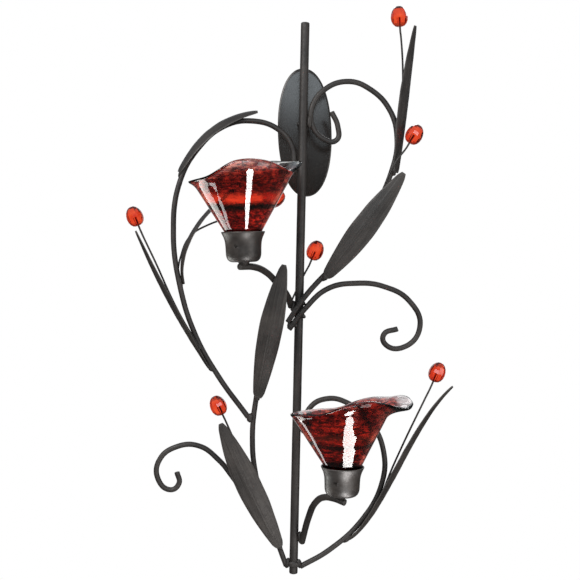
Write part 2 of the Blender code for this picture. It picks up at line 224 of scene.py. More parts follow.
# Weld beads: place, half sizes along x, y and z, and turn about Y in degrees
WELDS = {
    "upper_left_scroll_end": ((-5.6, -0.5, -33), (2.6, 3.2, 5.5), 4),
    "upper_right_scroll_side": ((5.9, -1.2, 7), (2.4, 3.0, 6.5), -4),
    "standoff_left": ((-3.9, 2.2, 5), (2.0, 3.0, 2.6), 0),
    "standoff_right": ((3.9, 2.4, 3.5), (2.0, 3.0, 2.6), 0),
    "upper_right_scroll_root": ((-3.6, -4.3, -167.5), (4.6, 2.2, 2.6), 32),
    "upper_right_scroll_cross": ((2.6, -4.4, -159.5), (3.6, 2.2, 2.2), 32),
    "right_middle_scroll_root": ((-4.8, -4.6, -179.5), (4.2, 2.4, 2.6), 40),
    "right_middle_scroll_cross": ((3.4, -4.4, -171.5), (3.4, 2.2, 2.0), 40),
    "scroll_roots": ((-8.6, -6.4, -180.8), (2.2, 2.6, 3.6), 0),
    "upper_arm_root": ((-5.4, -1.2, -163), (2.6, 3.4, 5.4), 0),
    "lower_arm_root": ((5.5, -1.6, -380.5), (2.4, 3.2, 5.6), -6),
    "leaf_stem_root": ((-5.6, -0.4, -405), (2.4, 3.6, 5.0), 12),
    "lower_right_scroll_root": ((5.2, -0.4, -405.4), (2.6, 3.6, 4.4), -20),
    "stem_foot": ((0, -3.5, -405.5), (5.2, 1.6, 3.2), 0),
    "lower_right_scroll_end": ((5.7, -0.8, -276), (2.4, 3.2, 5.6), 0),
    "upper_left_scroll_root": ((-43.2, -0.8, -268.4), (3.2, 3.0, 4.4), 14),
    "left_lower_scroll_root": ((-27.2, 0.4, -366), (3.0, 2.8, 6.0), 32),
    "lower_left_leaf_base": ((-13.6, -2.6, -388), (2.4, 1.8, 4.6), -20),
    "middle_left_leaf_base": ((-37, -2.6, -248.5), (2.4, 1.8, 5.0), 8),
    "outer_left_leaf_base": ((-82.3, 0, -221.5), (2.0, 2.8, 5.0), -32),
    "upper_left_leaf_base": ((-111.9, 0, -41.5), (1.8, 2.8, 5.0), 22),
    "inner_left_leaf_base": ((-110.2, 0, -143), (1.3, 2.2, 5.0), -14),
    "middle_right_leaf_base": ((23.6, -8.8, -135.2), (2.6, 1.8, 4.6), 38),
    "upper_right_leaf_base": ((84.6, -3.4, -36.5), (2.2, 2.8, 5.0), 10),
    "outer_right_leaf_base": ((50.5, 0, -380.6), (2.0, 2.8, 5.4), 44),
    "outer_right_wire_root": ((79.4, 0, -341), (1.5, 1.9, 3.2), 12),
    "outer_left_wire_root": ((-91.9, -2.4, -202.6), (1.5, 1.5, 3.0), -30),
    "right_wire_root": ((70.8, -6.0, -66), (1.8, 1.4, 3.0), 30),
    "top_right_wire_root": ((86.8, 1.6, -6), (1.4, 1.6, 3.2), 0),
    "behind_cup_wire_root": ((-114, 2.4, -132.5), (1.5, 1.6, 3.2), -14),
    "centre_wire_root": ((-7.4, 3.2, -161.5), (2.0, 1.6, 3.0), 30),
    "lower_left_wire_root": ((-40.9, 0, -315.2), (1.7, 1.6, 3.0), -30),
}


def length_setting(name, description, default):
    return bpy.props.FloatProperty(name=name, description=description, default=default, unit="LENGTH")


def colour_setting(name, description, default):
    return bpy.props.FloatVectorProperty(
        name=name, description=description, default=default, subtype="COLOR", size=3, min=0.0, max=1.0
    )


class CandleRackSizes(bpy.types.PropertyGroup):
    """Sizes of the metalwork and the glass."""

    stem_radius: length_setting("Stem radius", "Radius of the straight stem", 0.004)
    scroll_radius: length_setting("Scroll radius", "Radius of the rods that end in scrolls", 0.0025)
    arm_radius: length_setting("Arm radius", "Radius of the rods that carry the cups", 0.003)
    wire_radius: length_setting("Wire radius", "Radius of the wires that carry the drops", 0.0009)
    leaf_thickness: length_setting("Leaf thickness", "Thickness of the leaves' sheet metal", 0.0012)
    drop_radius: length_setting("Drop radius", "Radius of an amber drop at its widest", 0.0078)
    drop_length: length_setting("Drop length", "Length of an amber drop", 0.019)
    glass_wall: length_setting("Glass wall", "Thickness of the glass cups' wall", 0.0026)


class CandleRackFinish(bpy.types.PropertyGroup):
    """Colours of the paint, the glass, the drops and the floor."""

    paint_dark: colour_setting("Paint, dark", "Colour in the paint's hollows", (0.0135, 0.0102, 0.0086))
    paint_light: colour_setting("Paint, light", "Colour of the paint's high spots", (0.033, 0.0262, 0.0225))
    rub_colour: colour_setting(
        "Rubbed edge", "Colour where the paint is rubbed thin along edges and ridges", (0.075, 0.067, 0.06)
    )
    ruby: colour_setting("Ruby", "Main colour of the glass", (0.27, 0.0035, 0.0035))
    amber: colour_setting("Amber", "Colour of the drops", (0.9, 0.1, 0.03))
    floor: colour_setting("Floor", "Colour of the floor", (0.9, 0.9, 0.9))


def place(x, y, z):
    """A place in metres in the frame's space, from millimetres off the stem's centre line."""
    return Vector((STEM_AXIS.x + x * MM, STEM_AXIS.y + y * MM, z * MM))


def link(name, mesh, material, body, slot, *nodes):
    """Adds a mesh to the scene, carried by a body, in place of the CAD nodes it stands for."""
    piece = bpy.data.objects.new(name, mesh)
    bpy.context.scene.collection.objects.link(piece)
    mesh.materials.append(material)
    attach(piece, body)
    if nodes:
        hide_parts(*nodes)
    return piece


def finish_mesh(bm, name, sharp_degrees=40.0):
    """A mesh with outward faces, smooth but for its sharp edges."""
    mesh = bpy.data.meshes.new(name)
    bmesh.ops.recalc_face_normals(bm, faces=bm.faces)
    bm.to_mesh(mesh)
    bm.free()
    mesh.shade_smooth()
    mesh.set_sharp_from_angle(angle=math.radians(sharp_degrees))
    return mesh


def smooth_route(route, steps):
    """Evenly smooth points through a route of places, in metres."""
    curve = bpy.data.curves.new("route", "CURVE")
    curve.dimensions = "3D"
    curve.resolution_u = steps
    spline = curve.splines.new("BEZIER")
    spline.bezier_points.add(len(route) - 1)
    for knot, spot in zip(spline.bezier_points, route):
        knot.co = spot
    for knot in spline.bezier_points:
        knot.handle_left_type = "AUTO"
        knot.handle_right_type = "AUTO"
    guide = bpy.data.objects.new("route", curve)
    mesh = bpy.data.meshes.new_from_object(guide)
    points = [vertex.co.copy() for vertex in mesh.vertices]
    bpy.data.objects.remove(guide)
    bpy.data.curves.remove(curve)
    bpy.data.meshes.remove(mesh)
    return points


def sweep(points, radius, sides, seed, roughness=0.03, edge=0.22):
    """A bent bar along points, with hand-worked unevenness and softly broken ends."""
    bm = bmesh.new()
    rub = bm.verts.layers.float.new("rub")
    tangents = []
    for i in range(len(points)):
        tangents.append((points[min(i + 1, len(points) - 1)] - points[max(i - 1, 0)]).normalized())
    side = tangents[0].orthogonal().normalized()
    rings = []
    drift = Vector((seed * 7.3, seed * 3.1, seed * 1.7))

    def ring(centre, tangent, side, share, rubbed):
        other = tangent.cross(side)
        verts = []
        for j in range(sides):
            angle = math.tau * j / sides
            out = side * math.cos(angle) + other * math.sin(angle)
            spot = centre + out * radius * share
            bump = noise.noise(spot * 120 + drift) + 0.5 * noise.noise(spot * 420 + drift)
            vert = bm.verts.new(spot + out * radius * roughness * bump)
            vert[rub] = rubbed
            verts.append(vert)
        return verts

    last = len(points) - 1
    broken_edge = ((0.0, 1 - edge, 1.0), (0.35, 1 - edge * 0.3, 1.0), (1.0, 1, 0.3))
    for i, (centre, tangent) in enumerate(zip(points, tangents)):
        side = (side - tangent * side.dot(tangent)).normalized()
        if i in (0, last):
            inward = tangent if i == 0 else -tangent
            for step, share, rubbed in broken_edge[:: 1 if i == 0 else -1]:
                spot = centre + inward * radius * edge * step
                rings.append(ring(spot, tangent, side, share, rubbed))
        else:
            rings.append(ring(centre, tangent, side, 1, 0.0))
    for low, high in zip(rings, rings[1:]):
        for j in range(sides):
            bm.faces.new((low[j], low[(j + 1) % sides], high[(j + 1) % sides], high[j]))
    bm.faces.new(rings[0][::-1])
    bm.faces.new(rings[-1])
    return bm


def lathe(profile, segments):
    """A closed body turned about Z from a profile of (radius, z) that starts and ends on the axis."""
    bm = bmesh.new()
    start = bm.verts.new((0, 0, profile[0][1] * MM))
    end = bm.verts.new((0, 0, profile[-1][1] * MM))
    rings = []
    for radius, z in profile[1:-1]:
        ring = []
        for j in range(segments):
            angle = math.tau * j / segments
            ring.append(bm.verts.new((radius * math.cos(angle) * MM, radius * math.sin(angle) * MM, z * MM)))
        rings.append(ring)
    for j in range(segments):
        k = (j + 1) % segments
        bm.faces.new((start, rings[0][j], rings[0][k]))
        bm.faces.new((end, rings[-1][k], rings[-1][j]))
        for low, high in zip(rings, rings[1:]):
            bm.faces.new((low[j], high[j], high[k], low[k]))
    return bm


def new_material(name):
    """A new material, its node tree and its shader."""
    material = bpy.data.materials.new(name)
    material.use_nodes = True
    tree = material.node_tree
    return material, tree, tree.nodes["Principled BSDF"]


def gray(value):
    return (value, value, value)


def add_mapping(tree, source, kind, value):
    """A place moved (Location) or stretched (Scale)."""
    mapping = tree.nodes.new("ShaderNodeMapping")
    mapping.inputs[kind].default_value = value
    tree.links.new(source, mapping.inputs["Vector"])
    return mapping.outputs["Vector"]


def add_noise(tree, scale, detail, roughness=0.6, source=None, stretch=None):
    """A noise texture's value, in object space by default, so a pattern keeps its real size."""
    source = source or tree.nodes.new("ShaderNodeTexCoord").outputs["Object"]
    if stretch:
        source = add_mapping(tree, source, "Scale", stretch)
    texture = tree.nodes.new("ShaderNodeTexNoise")
    texture.inputs["Scale"].default_value = scale
    texture.inputs["Detail"].default_value = detail
    texture.inputs["Roughness"].default_value = roughness
    tree.links.new(source, texture.inputs["Vector"])
    return texture.outputs["Fac"]


def add_attribute(tree, name):
    """The value that a mesh's corners carry under a name."""
    attribute = tree.nodes.new("ShaderNodeAttribute")
    attribute.attribute_name = name
    return attribute.outputs["Fac"]


def add_ramp(tree, factor, *stops):
    """A colour ramp through (position, colour) stops. A plain number is a gray."""
    ramp = tree.nodes.new("ShaderNodeValToRGB")
    while len(ramp.color_ramp.elements) < len(stops):
        ramp.color_ramp.elements.new(0.5)
    for element, (position, colour) in zip(ramp.color_ramp.elements, stops):
        element.position = position
        element.color = (*(colour if isinstance(colour, tuple) else gray(colour)), 1.0)
    tree.links.new(factor, ramp.inputs["Fac"])
    return ramp.outputs["Color"]


def add_mix(tree, factor, first, second, blend="MIX"):
    """A colour mix. factor, first and second are sockets or plain values."""
    mix = tree.nodes.new("ShaderNodeMix")
    mix.data_type = "RGBA"
    mix.blend_type = blend
    for socket, value in ((mix.inputs[0], factor), (mix.inputs[6], first), (mix.inputs[7], second)):
        if isinstance(value, bpy.types.NodeSocket):
            tree.links.new(value, socket)
        elif isinstance(value, float):
            socket.default_value = value
        else:
            socket.default_value = (*value, 1.0)
    return mix.outputs[2]


def add_math(tree, operation, first, second=0.0):
    node = tree.nodes.new("ShaderNodeMath")
    node.operation = operation
    for socket, value in zip(node.inputs, (first, second)):
        if isinstance(value, bpy.types.NodeSocket):
            tree.links.new(value, socket)
        else:
            socket.default_value = value
    return node.outputs[0]


def add_bump(tree, shader, height, strength, distance):
    """Fine relief from a height value."""
    bump = tree.nodes.new("ShaderNodeBump")
    bump.inputs["Strength"].default_value = strength
    bump.inputs["Distance"].default_value = distance
    tree.links.new(height, bump.inputs["Height"])
    tree.links.new(bump.outputs["Normal"], shader.inputs["Normal"])


def make_clear(shader, ior):
    """Lets light through, with a polished surface."""
    shader.inputs["Roughness"].default_value = 0.0
    shader.inputs["Transmission Weight"].default_value = 1.0
    shader.inputs["IOR"].default_value = ior


def iron_paint(name, finish, warmth, sheen, streaks, depth, relief):
    """Dark satin paint over wrought iron: grainy, cloudy, and rubbed thin along the edges."""
    material, tree, shader = new_material(name)
    clouds = add_noise(tree, 38.0, 4.0)
    grain = add_noise(tree, 900.0, 2.0)
    pits = add_noise(tree, 330.0, 5.0, 0.65)
    rubbed = tuple(finish.rub_colour)
    dark = tuple(value * depth for value in finish.paint_dark)
    light = tuple(
        value * depth * (1 + warmth * tilt) for value, tilt in zip(finish.paint_light, (1.0, 0.85, 0.7))
    )
    # Paint without relief is also more even
    spread = 1.0 if relief else 0.25
    cloud_level = add_ramp(tree, clouds, (0.34, 0.5 - 0.5 * spread), (0.68, 0.5 + 0.5 * spread))
    colour = add_mix(tree, cloud_level, dark, light)
    grain_level = add_ramp(tree, grain, (0.35, 0.88), (0.7, 1.12))
    colour = add_mix(tree, 1.0, colour, grain_level, "MULTIPLY")
    if streaks:
        lengthwise = tree.nodes.new("ShaderNodeCombineXYZ")
        for axis, (attribute, scale) in enumerate((("across", 14.0), ("along", 1.6))):
            scaled = add_math(tree, "MULTIPLY", add_attribute(tree, attribute), scale)
            tree.links.new(scaled, lengthwise.inputs[axis])
        lines = add_noise(tree, 1.0, 5.0, 0.7, lengthwise.outputs[0])
        colour = add_mix(tree, add_ramp(tree, lines, (0.48, 0.0), (0.7, 0.6)), colour, rubbed)
    pitted = add_math(tree, "MULTIPLY", pits, 1.3)
    worn = add_math(tree, "MULTIPLY", add_attribute(tree, "rub"), pitted)
    colour = add_mix(tree, add_ramp(tree, worn, (0.3, 0.0), (0.85, 0.7)), colour, rubbed)
    tree.links.new(colour, shader.inputs["Base Color"])
    roughness = add_ramp(tree, pits, (0.3, sheen + 0.14 * spread), (0.7, sheen - 0.06 * spread))
    tree.links.new(roughness, shader.inputs["Roughness"])
    shader.inputs["Metallic"].default_value = 0.15
    shader.inputs["Specular IOR Level"].default_value = 0.6
    add_bump(tree, shader, pits, relief, 0.0002)
    return material


def ruby_glass(name, finish, offset, clear, glow_share, casing):
    """One face of a cup's wall: ruby mottled with black, in rings, with bright flecks.

    The casing is the outside, with the slow waves of blown glass. The lining's relief is finer.
    """
    material, tree, shader = new_material(name)
    coordinates = tree.nodes.new("ShaderNodeTexCoord")
    drift = add_mapping(tree, coordinates.outputs["Object"], "Location", offset)
    mottle = add_noise(tree, 330.0, 4.0, 0.62, drift, (0.5, 0.5, 1.5))
    streaks = add_noise(tree, 75.0, 5.0, 0.62, drift, (0.55, 0.55, 4.2))
    flecks = add_noise(tree, 520.0, 2.0, 0.62, drift, (0.8, 0.8, 1.3))
    red = tuple(value * (0.7 + 0.35 * glow_share) for value in finish.ruby)
    black = (red[0] * 0.03, red[1] * 0.3, red[2] * 0.3)
    deep = (red[0] * 0.2, red[1] * 0.25, red[2] * 0.3)
    bright = (0.35 + 0.3 * glow_share, red[1] * 5.0, red[2] * 2.5)
    glow = (0.92, red[1] * 15.0, red[2] * 5.0)
    soot = (0.0015, 0.0018, 0.0014)
    foot_red = (0.012, 0.0006, 0.0006)
    rim_white = (0.85, 0.78, 0.76)
    base = add_ramp(tree, mottle, (0.43, black), (0.48, deep), (0.52, red), (0.57, bright), (0.63, glow))
    streak_level = add_ramp(tree, streaks, (0.38, 0.1), (0.54, 1.0))
    colour = add_mix(tree, 0.8, base, streak_level, "MULTIPLY")
    fleck_level = add_ramp(tree, flecks, (0.59, 0.0), (0.65, 0.4 + 0.7 * glow_share))
    colour = add_mix(tree, fleck_level, colour, glow)
    # The rings lie at even heights, with slightly wandering edges
    wander = add_math(tree, "MULTIPLY", add_math(tree, "SUBTRACT", streaks, 0.5), 0.035)
    height = add_math(tree, "ADD", add_attribute(tree, "level"), wander)
    glow_ring = add_ramp(tree, height, (0.4, 0.0), (0.43, glow_share), (0.5, glow_share), (0.56, 0.0))
    colour = add_mix(tree, glow_ring, colour, add_mix(tree, streak_level, red, glow))
    shoulder = add_ramp(tree, height, (0.55, 1.0), (0.62, 0.6), (0.8, 0.75), (0.95, 1.0))
    colour = add_mix(tree, 1.0, colour, shoulder, "MULTIPLY")
    dark_ring = add_ramp(tree, height, (0.3, 0.0), (0.325, 0.97), (0.37, 0.97), (0.4, 0.0))
    colour = add_mix(tree, dark_ring, colour, soot)
    colour = add_mix(tree, add_ramp(tree, height, (0.03, 0.95), (0.07, 0.0)), colour, foot_red)
    rim = add_ramp(tree, add_attribute(tree, "rise"), (0.975, 0.0), (0.995, 0.9))
    colour = add_mix(tree, rim, colour, rim_white)
    smoke = tuple(value * 0.08 for value in clear)
    lens = add_ramp(tree, streaks, (0.42, smoke), (0.52, clear), (0.68, (0.9, 0.88, 0.88)))
    colour = add_mix(tree, add_attribute(tree, "drawn"), colour, lens)
    # Light passes both faces of a wall, so each takes the root of the wall's colour
    root = tree.nodes.new("ShaderNodeGamma")
    root.inputs["Gamma"].default_value = 0.5
    tree.links.new(colour, root.inputs["Color"])
    tree.links.new(root.outputs["Color"], shader.inputs["Base Color"])
    make_clear(shader, 1.47)
    if casing:
        add_bump(tree, shader, add_noise(tree, 42.0, 1.5, 0.4), 0.5, 0.001)
    else:
        add_bump(tree, shader, mottle, 0.3, 0.0004)
    return material


def amber_resin(finish):
    """Clear orange-red resin, with painted shade deepening its colour towards a drop's outline as the camera
    sees it.
    """
    material, tree, shader = new_material("amber_resin")
    amber = tuple(finish.amber)
    deep = (amber[0] * 0.7, amber[1] * 0.3, amber[2] * 0.4)
    shade = (amber[0] * 0.22, amber[1] * 0.05, amber[2] * 0.1)
    tint = add_ramp(tree, add_noise(tree, 160.0, 2.0), (0.35, deep), (0.65, amber))
    # Painted shade: the colour darkens towards the outline that the camera sees, where a clear drop looks
    # dark
    outline = tree.nodes.new("ShaderNodeLayerWeight")
    outline.inputs["Blend"].default_value = 0.35
    edge = add_ramp(tree, outline.outputs["Facing"], (0.12, 0.0), (0.62, 1.0))
    tree.links.new(add_mix(tree, edge, tint, shade), shader.inputs["Base Color"])
    make_clear(shader, 1.5)
    return material


def matt_floor(finish):
    material, tree, shader = new_material("matt_floor")
    pale = tuple(finish.floor)
    faint = tuple(value * 0.985 for value in pale)
    tint = add_ramp(tree, add_noise(tree, 2.0, 2.0), (0.3, faint), (0.7, pale))
    tree.links.new(tint, shader.inputs["Base Color"])
    shader.inputs["Roughness"].default_value = 0.9
    shader.inputs["Emission Color"].default_value = (1.0, 1.0, 1.0, 1.0)
    shader.inputs["Emission Strength"].default_value = 0.4
    return material


# Each paint's warmth, sheen, streaks, depth and relief
PAINTS = {
    "rod_paint": (0.0, 0.5, False, 1.0, 0.06),
    "leaf_paint": (0.1, 0.48, True, 1.0, 0.06),
    # The plate's copy is darker throughout (depth 0.5): painted shade for how dark its lower half looks
    "shaded_plate_paint": (0.5, 0.24, False, 0.5, 0.0),
    # The sockets' copy is lighter and warmer than the rods' paint: painted light on the same paint
    "lit_socket_paint": (0.35, 0.4, False, 1.0, 0.06),
}


def add_metal(name, mesh, paint, *nodes):
    """Adds a painted piece of the welded frame."""
    finish = bpy.context.scene.candle_rack_finish
    material = bpy.data.materials.get(paint) or iron_paint(paint, finish, *PAINTS[paint])
    return link(name, mesh, material, FRAME_BODY, "iron_paint", *nodes)


# Shares of a leaf's half width at which its columns of corners lie, from its crease outwards
LEAF_SHARES = (0.03, 0.1, 0.25, 0.42, 0.6, 0.78, 0.92, 1)
LEAF_COLUMNS = (*(-share for share in LEAF_SHARES[::-1]), 0, *LEAF_SHARES)
LEAF_ROWS = 56
LEAF_BASE_WIDTH, LEAF_TIP_WIDTH = 8.2, 4.6


def leaf_piece(name, places, facing, width, thickness):
    """One creased leaf cut from sheet metal, faintly hammered, with softened edges."""
    facing = Vector(facing).normalized()
    fold = 0.08 if facing.y < -0.9 else 0.125
    base, first, second, tip = (place(*spot) for spot in places)
    bm = bmesh.new()
    rub = bm.verts.layers.float.new("rub")
    across_share = bm.verts.layers.float.new("across")
    along_share = bm.verts.layers.float.new("along")
    seed = Vector((len(name) * 3.7, width * 1.3, 5.1))
    rings = []
    for i in range(LEAF_ROWS + 1):
        t = i / LEAF_ROWS
        s = 1 - t
        centre = s**3 * base + 3 * s * s * t * first + 3 * s * t * t * second + t**3 * tip
        along = (s * s * (first - base) + 2 * s * t * (second - first) + t * t * (tip - second)).normalized()
        across = along.cross(facing).normalized()
        outward = across.cross(along).normalized()
        swell = math.sin(math.pi * t) ** 0.9
        end = LEAF_BASE_WIDTH * s + LEAF_TIP_WIDTH * t
        half = (end + (width - end) * swell) / 2
        half *= min(1.0, 0.7 + 0.3 * min(t, s) * LEAF_ROWS / 1.5)
        top = []
        for u in LEAF_COLUMNS:
            ridge = fold * width * swell * (1 - abs(u)) ** 0.95
            vein = math.exp(-((u / 0.045) ** 2))
            groove = swell * (0.3 * vein + 0.22 * math.exp(-(((abs(u) - 0.45) / 0.1) ** 2)))
            spot = centre + (across * u * half + outward * (ridge - groove)) * MM
            dent = noise.noise(spot * 95 + seed) * 0.3 + noise.noise(spot * 260 + seed) * 0.1
            wave = noise.noise(spot * 60 + seed) * 0.3 * abs(u) ** 6 * math.copysign(1, u)
            top.append(spot + (outward * dent + across * wave) * swell * MM)
        ring = []

        def corner(spot, u, rubbed):
            vert = bm.verts.new(spot)
            vert[rub] = rubbed
            vert[across_share] = u * half / 10
            vert[along_share] = t * (tip - base).length * 10
            ring.append(vert)

        for face in (1, -1):
            for k in range(len(LEAF_COLUMNS))[::face]:
                u = LEAF_COLUMNS[k]
                tilt = fold * width * swell / half * (0 if u == 0 else math.copysign(1, u))
                lift = (outward + across * tilt).normalized() * face * thickness / 2
                lift *= 0.45 if abs(u) == 1 else 1.0
                crest = 0.7 * math.exp(-(((abs(u) - 0.1) / 0.05) ** 2)) if face > 0 else 0
                rubbed = max(crest, 0.9 * max(0.0, (abs(u) - 0.85) / 0.15), 1 - min(t, s) * 40)
                corner(top[k] + lift, u, rubbed)
            corner(top[k] + across * math.copysign(1, u) * thickness * 0.32, u, 1.0)
        rings.append(ring)
    count = len(rings[0])
    for low, high in zip(rings, rings[1:]):
        for j in range(count):
            bm.faces.new((low[j], low[(j + 1) % count], high[(j + 1) % count], high[j]))
    bm.faces.new(rings[0][::-1])
    bm.faces.new(rings[-1])
    add_metal(name + "_sheet", finish_mesh(bm, name, 50), "leaf_paint", name)


def smoothed_rim(rim, azimuth):
    """The rim's radius and height at an azimuth in degrees, eased between its stated places."""
    turn_before = [(angle - 360, *rest) for angle, *rest in rim[-2:]]
    turn_after = [(angle + 360, *rest) for angle, *rest in rim[:2]]
    ring = [*turn_before, *rim, *turn_after]
    azimuth %= 360
    for i in range(1, len(ring) - 2):
        if ring[i][0] <= azimuth < ring[i + 1][0]:
            break
    t = (azimuth - ring[i][0]) / (ring[i + 1][0] - ring[i][0])
    values = []
    for k in (1, 2):
        before, start, end, after = (ring[i + step][k] for step in (-1, 0, 1, 2))
        span = ring[i + 1][0] - ring[i][0]
        rise_in = (end - before) / (ring[i + 1][0] - ring[i - 1][0]) * span
        rise_out = (after - start) / (ring[i + 2][0] - ring[i][0]) * span
        values.append(
            (2 * t**3 - 3 * t**2 + 1) * start
            + (t**3 - 2 * t**2 + t) * rise_in
            + (3 * t**2 - 2 * t**3) * end
            + (t**3 - t**2) * rise_out
        )
    return values


def cup_section(rim, slope, skew, azimuth, wall):
    """One meridian of a cup: (radius, z, share of the height) from the foot round to the inside."""
    rim_radius, rim_height = smoothed_rim(rim, azimuth)
    rim_radius -= 0.9
    rim_height -= 1.1
    lean = slope - skew * math.cos(math.radians(azimuth))
    collar = rim_height * CONE_SHARE
    middle = [(SEAT_RADIUS + lean * collar * i / 12, collar * i / 12) for i in range(12)]
    bend = collar + (rim_height - collar) * 0.75
    start = (SEAT_RADIUS + lean * collar, collar)
    control = (SEAT_RADIUS + lean * bend, bend)
    for i in range(11):
        t = i / 10
        middle.append(
            tuple(
                (1 - t) ** 2 * a + 2 * t * (1 - t) * b + t**2 * c
                for a, b, c in zip(start, control, (rim_radius, rim_height))
            )
        )
    count = len(middle)
    reach = max(0.0, rim_radius - LIP_FROM) / LIP_REACH
    outer, inner = [], []
    for i, (radius, z) in enumerate(middle):
        before, after = middle[max(i - 1, 0)], middle[min(i + 1, count - 1)]
        run, climb = after[0] - before[0], after[1] - before[1]
        length = math.hypot(run, climb)
        share = i / (count - 1)
        half = wall / 2 + 0.9 * reach * max(0.0, share - 0.55) / 0.45
        if i > count - 4:
            half *= (1.0, 0.96, 0.8)[i - count + 3]
        outer.append((radius + climb / length * half, z - run / length * half, share))
        inner.append((radius - climb / length * half, z + run / length * half, share))
    run, climb = middle[-1][0] - middle[-2][0], middle[-1][1] - middle[-2][1]
    length = math.hypot(run, climb)
    crown = (
        middle[-1][0] + run / length * wall * 0.38,
        middle[-1][1] + climb / length * wall * 0.38,
        1.0,
    )
    return outer, crown, inner


def cup_mesh(name, rim, slope, skew, wall, clear_from):
    """A lily cup with a closed foot, a cone-shaped wall and a drawn, wavy rim."""
    foot_outside = ((11.2, -16), (12.7, -15.6), (13.3, -14.6), (13.4, -8.5), (13.9, -6), (15.0, -3))
    foot_inside = ((12.6, -2.6), (11.4, -5.2), (10.9, -8), (10.8, -12.2), (10.2, -13.2), (8.6, -13.5))
    segments = 144
    bm = bmesh.new()
    rise = bm.verts.layers.float.new("rise")
    level = bm.verts.layers.float.new("level")
    drawn = bm.verts.layers.float.new("drawn")
    columns = []
    for j in range(segments):
        azimuth = 360 * j / segments
        outer, crown, inner = cup_section(rim, slope, skew, azimuth, wall)
        section = [(r, z, 0.0) for r, z in foot_outside] + outer + [crown] + inner[::-1]
        section += [(r, z, 0.0) for r, z in foot_inside]
        direction = Vector((math.cos(math.radians(azimuth)), math.sin(math.radians(azimuth)), 0))
        column = []
        for radius, z, share in section:
            vert = bm.verts.new((direction * radius + Vector((0, 0, z))) * MM)
            vert[rise] = share
            vert[level] = z / LEVEL_HEIGHT
            draw = min(1.0, max(0.0, (radius - clear_from) / CLEAR_FADE))
            vert[drawn] = draw * draw * (3 - 2 * draw)
            column.append(vert)
        columns.append(column)
    count = len(columns[0])
    lining_from = len(foot_outside) + len(outer) + 1
    bottom = bm.verts.new((0, 0, -15.7 * MM))
    floor = bm.verts.new((0, 0, -13.6 * MM))
    for j in range(segments):
        here, there = columns[j], columns[(j + 1) % segments]
        bm.faces.new((bottom, there[0], here[0]))
        lid = bm.faces.new((floor, here[-1], there[-1]))
        lid.material_index = 1
        for i in range(count - 1):
            face = bm.faces.new((here[i], there[i], there[i + 1], here[i + 1]))
            face.material_index = 1 if i >= lining_from else 0
    return finish_mesh(bm, name, 60)


def cup_seat(name):
    """Where a cup's socket and glass sit: the middle of the socket's rim, leaning as the cup does."""
    x, rim_z, lean = CUPS[name][:3]
    return Matrix.Translation(place(x, -CUP_REACH, rim_z)) @ Matrix.Rotation(-math.radians(lean), 4, "Y")


class CANDLERACK_OT_stem(bpy.types.Operator):
    """Build the straight stem and the spacer that holds it off the wall plate"""

    bl_idname = "candlerack.stem"
    bl_label = "Build Stem"

    def execute(self, context):
        low, high = STEM_LOW.z, STEM_HIGH.z
        points = [Vector((STEM_AXIS.x, STEM_AXIS.y, low + (high - low) * i / 120)) for i in range(121)]
        bm = sweep(points, context.scene.candle_rack_sizes.stem_radius, 28, 1, 0.012, 0.3)
        add_metal("stem_rod", finish_mesh(bm, "stem_rod"), "rod_paint", "center_stem")
        lowest, highest = (Vector(corner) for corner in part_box("plate_standoff"))
        centre = (lowest + highest) / 2
        depth = highest.y - lowest.y
        points = [Vector((centre.x, lowest.y + depth * i / 12, centre.z)) for i in range(13)]
        bm = sweep(points, (highest.x - lowest.x) / 2, 32, 2, 0.012, 0.12)
        add_metal("stem_spacer", finish_mesh(bm, "stem_spacer"), "rod_paint", "plate_standoff")
        return {"FINISHED"}


class CANDLERACK_OT_plate(bpy.types.Operator):
    """Build the oval wall plate with its keyhole"""

    bl_idname = "candlerack.plate"
    bl_label = "Build Wall Plate"

    def execute(self, context):
        low, high = (Vector(corner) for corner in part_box("wall_plate"))
        half_width, half_height = (high.x - low.x) / 2, (high.z - low.z) / 2
        crown, edge = high.y - low.y, 0.0015
        rings, segments = 20, 112
        fullness = 2.2  # 2 is a plain ellipse
        lean = Matrix.Rotation(math.radians(-3.0), 3, "Y")
        bm = bmesh.new()
        rub = bm.verts.layers.float.new("rub")

        def ring(share, y, rubbed):
            verts = []
            for j in range(segments):
                angle = math.tau * j / segments
                cos, sin = math.cos(angle), math.sin(angle)
                swell = (abs(cos) ** fullness + abs(sin) ** fullness) ** (-1 / fullness)
                spot = Vector((half_width * share * cos * swell, y, half_height * share * sin * swell))
                spot.rotate(lean)
                dent = noise.noise(spot * 30) * 0.0001 * min(1.0, (1 - share) * 6) if y < 0 else 0.0
                vert = bm.verts.new(spot + Vector((0, dent, 0)))
                vert[rub] = rubbed
                verts.append(vert)
            return verts

        loops = []
        for i in range(1, rings + 1):
            share = i / rings * 0.985
            loops.append(ring(share, -edge - (crown - edge) * (1 - share**2), 0.0))
        rounded_edge = ((0.996, 0.82, 0.9), (1.0, 0.5, 0.9), (0.996, 0.12, 0.5), (0.985, 0.0, 0.0))
        for share, depth, rubbed in rounded_edge:
            loops.append(ring(share, -edge * depth, rubbed))
        centre = bm.verts.new((0, -crown, 0))
        for j in range(segments):
            k = (j + 1) % segments
            bm.faces.new((centre, loops[0][j], loops[0][k]))
            for inner, outer in zip(loops, loops[1:]):
                bm.faces.new((inner[j], outer[j], outer[k], inner[k]))
        bm.faces.new(loops[-1])
        # The plate takes the darker copy of the paint, a painted shade
        plate = add_metal("oval_plate", finish_mesh(bm, "oval_plate", 50), "shaded_plate_paint", "wall_plate")
        cutter = keyhole_cutter()
        cut = plate.modifiers.new("Keyhole", "BOOLEAN")
        cut.object = cutter
        cut.operation = "DIFFERENCE"
        apply_modifiers(plate)
        bpy.data.objects.remove(cutter)
        return {"FINISHED"}


def apply_modifiers(piece):
    """Bakes a piece's modifiers into its mesh."""
    bpy.context.view_layer.update()
    graph = bpy.context.evaluated_depsgraph_get()
    baked = bpy.data.meshes.new_from_object(piece.evaluated_get(graph))
    piece.modifiers.clear()
    piece.data = baked


